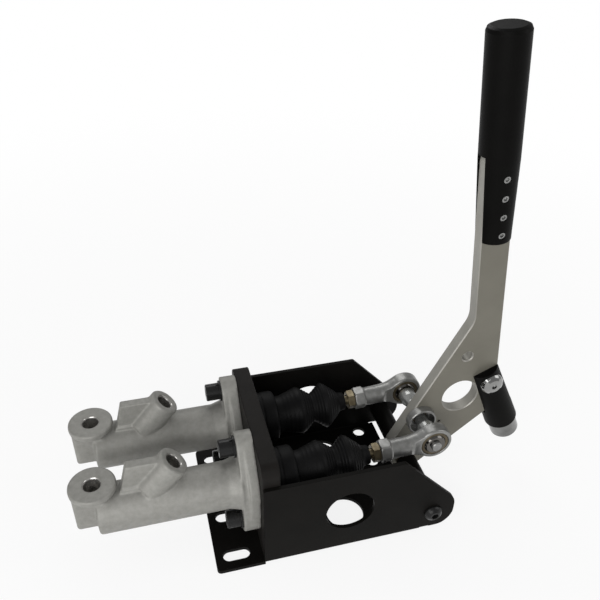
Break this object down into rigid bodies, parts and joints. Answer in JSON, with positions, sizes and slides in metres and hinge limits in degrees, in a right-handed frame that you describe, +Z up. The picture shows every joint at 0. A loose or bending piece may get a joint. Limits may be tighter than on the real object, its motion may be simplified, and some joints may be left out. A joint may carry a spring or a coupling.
{
  "type": "hydraulic parking brake lever",
  "caption": "Upright hydraulic parking brake lever with slotted round grip, balance bar, master cylinders, rubber boots and a folded sheet steel floor frame.",
  "frame": {"origin": "underside of the frame's floor on its middle plane, in line with the left edges of the side plates", "axes": "+X from the cylinders towards the lever, +Y across the frame to the rear side plate, +Z up from the floor"},
  "size_m": [0.3562, 0.1351, 0.3574],
  "materials": {
    "black_paint": "satin",
    "cast_aluminium": "matte",
    "satin_aluminium": "satin",
    "black_anodised": "satin",
    "black_steel": "satin",
    "spring_steel": "satin",
    "zinc_steel": "satin",
    "yellow_zinc": "satin",
    "chrome": "polished",
    "brass": "satin",
    "rubber": "matte"
  },
  "bodies": {
    "frame": {"bracket_frame": "black_paint", "cross_plate": "black_paint", "front_cylinder_body": "cast_aluminium", "rear_cylinder_body": "cast_aluminium", "cylinder_screws": "black_steel", "screw_spring_washers": "black_steel", "screw_washers": "black_steel", "front_boot": "rubber", "rear_boot": "rubber", "front_return_spring": "spring_steel", "rear_return_spring": "spring_steel", "front_circlip": "spring_steel", "rear_circlip": "spring_steel", "front_stop_washer": "zinc_steel", "rear_stop_washer": "zinc_steel", "pivot_bolt": "black_steel", "pivot_nut": "black_steel", "pivot_washer": "black_steel", "front_pivot_spacer": "black_paint", "rear_pivot_spacer": "black_paint"},
    "lever": {"lever_plate": "satin_aluminium", "grip": "black_anodised", "grip_set_screws": "chrome", "front_pivot_bush": "brass", "rear_pivot_bush": "brass", "stop_bar": "black_anodised", "stop_bar_screw": "chrome", "stop_foot": "chrome", "uniball_housing": "zinc_steel", "uniball_race": "brass", "front_uniball_ring": "spring_steel", "rear_uniball_ring": "spring_steel"},
    "balance": {"balance_bar": "zinc_steel", "uniball_ball": "chrome", "front_rod_ball": "chrome", "rear_rod_ball": "chrome", "front_bar_spacer": "satin_aluminium", "rear_bar_spacer": "satin_aluminium"},
    "front_race_body": {"front_race": "brass"},
    "front_rod": {"front_rod_end": "zinc_steel", "front_jam_nut": "yellow_zinc", "front_pushrod": "yellow_zinc"},
    "front_piston_body": {"front_piston": "satin_aluminium", "front_primary_seal": "rubber", "front_secondary_seal": "rubber"},
    "rear_race_body": {"rear_race": "brass"},
    "rear_rod": {"rear_rod_end": "zinc_steel", "rear_jam_nut": "yellow_zinc", "rear_pushrod": "yellow_zinc"},
    "rear_piston_body": {"rear_piston": "satin_aluminium", "rear_primary_seal": "rubber", "rear_secondary_seal": "rubber"}
  },
  "joints": [
    {"name": "lever_pull", "type": "hinge", "parent": "frame", "child": "lever", "pos_m": [0.1302, 0, 0.0183], "axis": [0, -1, 0], "range_deg": [0, 25], "stiffness_Nm_per_rad": 6, "springref_deg": -8.59},
    {"name": "balance_swing", "type": "hinge", "parent": "lever", "child": "balance", "pos_m": [0.1373, 0, 0.0637], "axis": [0, 0, 1], "range_deg": [-2, 2]},
    {"name": "front_race_swivel", "type": "hinge", "parent": "balance", "child": "front_race_body", "pos_m": [0.1373, -0.03, 0.0637], "axis": [0, 0, 1], "range_deg": [-2, 2]},
    {"name": "front_rod_swing", "type": "hinge", "parent": "front_race_body", "child": "front_rod", "pos_m": [0.1373, -0.03, 0.0637], "axis": [0, 1, 0], "range_deg": [0, 26]},
    {"name": "front_piston_slide", "type": "slide", "parent": "frame", "child": "front_piston_body", "axis": [-1, 0, 0], "range_m": [0, 0.0201], "deforming": ["front_return_spring", "front_boot"]},
    {"name": "rear_race_swivel", "type": "hinge", "parent": "balance", "child": "rear_race_body", "pos_m": [0.1373, 0.03, 0.0637], "axis": [0, 0, 1], "range_deg": [-2, 2]},
    {"name": "rear_rod_swing", "type": "hinge", "parent": "rear_race_body", "child": "rear_rod", "pos_m": [0.1373, 0.03, 0.0637], "axis": [0, 1, 0], "range_deg": [0, 26]},
    {"name": "rear_piston_slide", "type": "slide", "parent": "frame", "child": "rear_piston_body", "axis": [-1, 0, 0], "range_m": [0, 0.0201], "deforming": ["rear_return_spring", "rear_boot"]}
  ],
  "couplings": [
    {"joint": "front_race_swivel", "follows": "balance_swing", "ratio": -1},
    {"joint": "front_rod_swing", "follows": "lever_pull", "ratio": 1.02},
    {"joint": "front_piston_slide", "follows": "lever_pull", "m_per_rad": 0.04566},
    {"joint": "rear_race_swivel", "follows": "balance_swing", "ratio": -1},
    {"joint": "rear_rod_swing", "follows": "lever_pull", "ratio": 1.02},
    {"joint": "rear_piston_slide", "follows": "lever_pull", "m_per_rad": 0.04566}
  ]
}
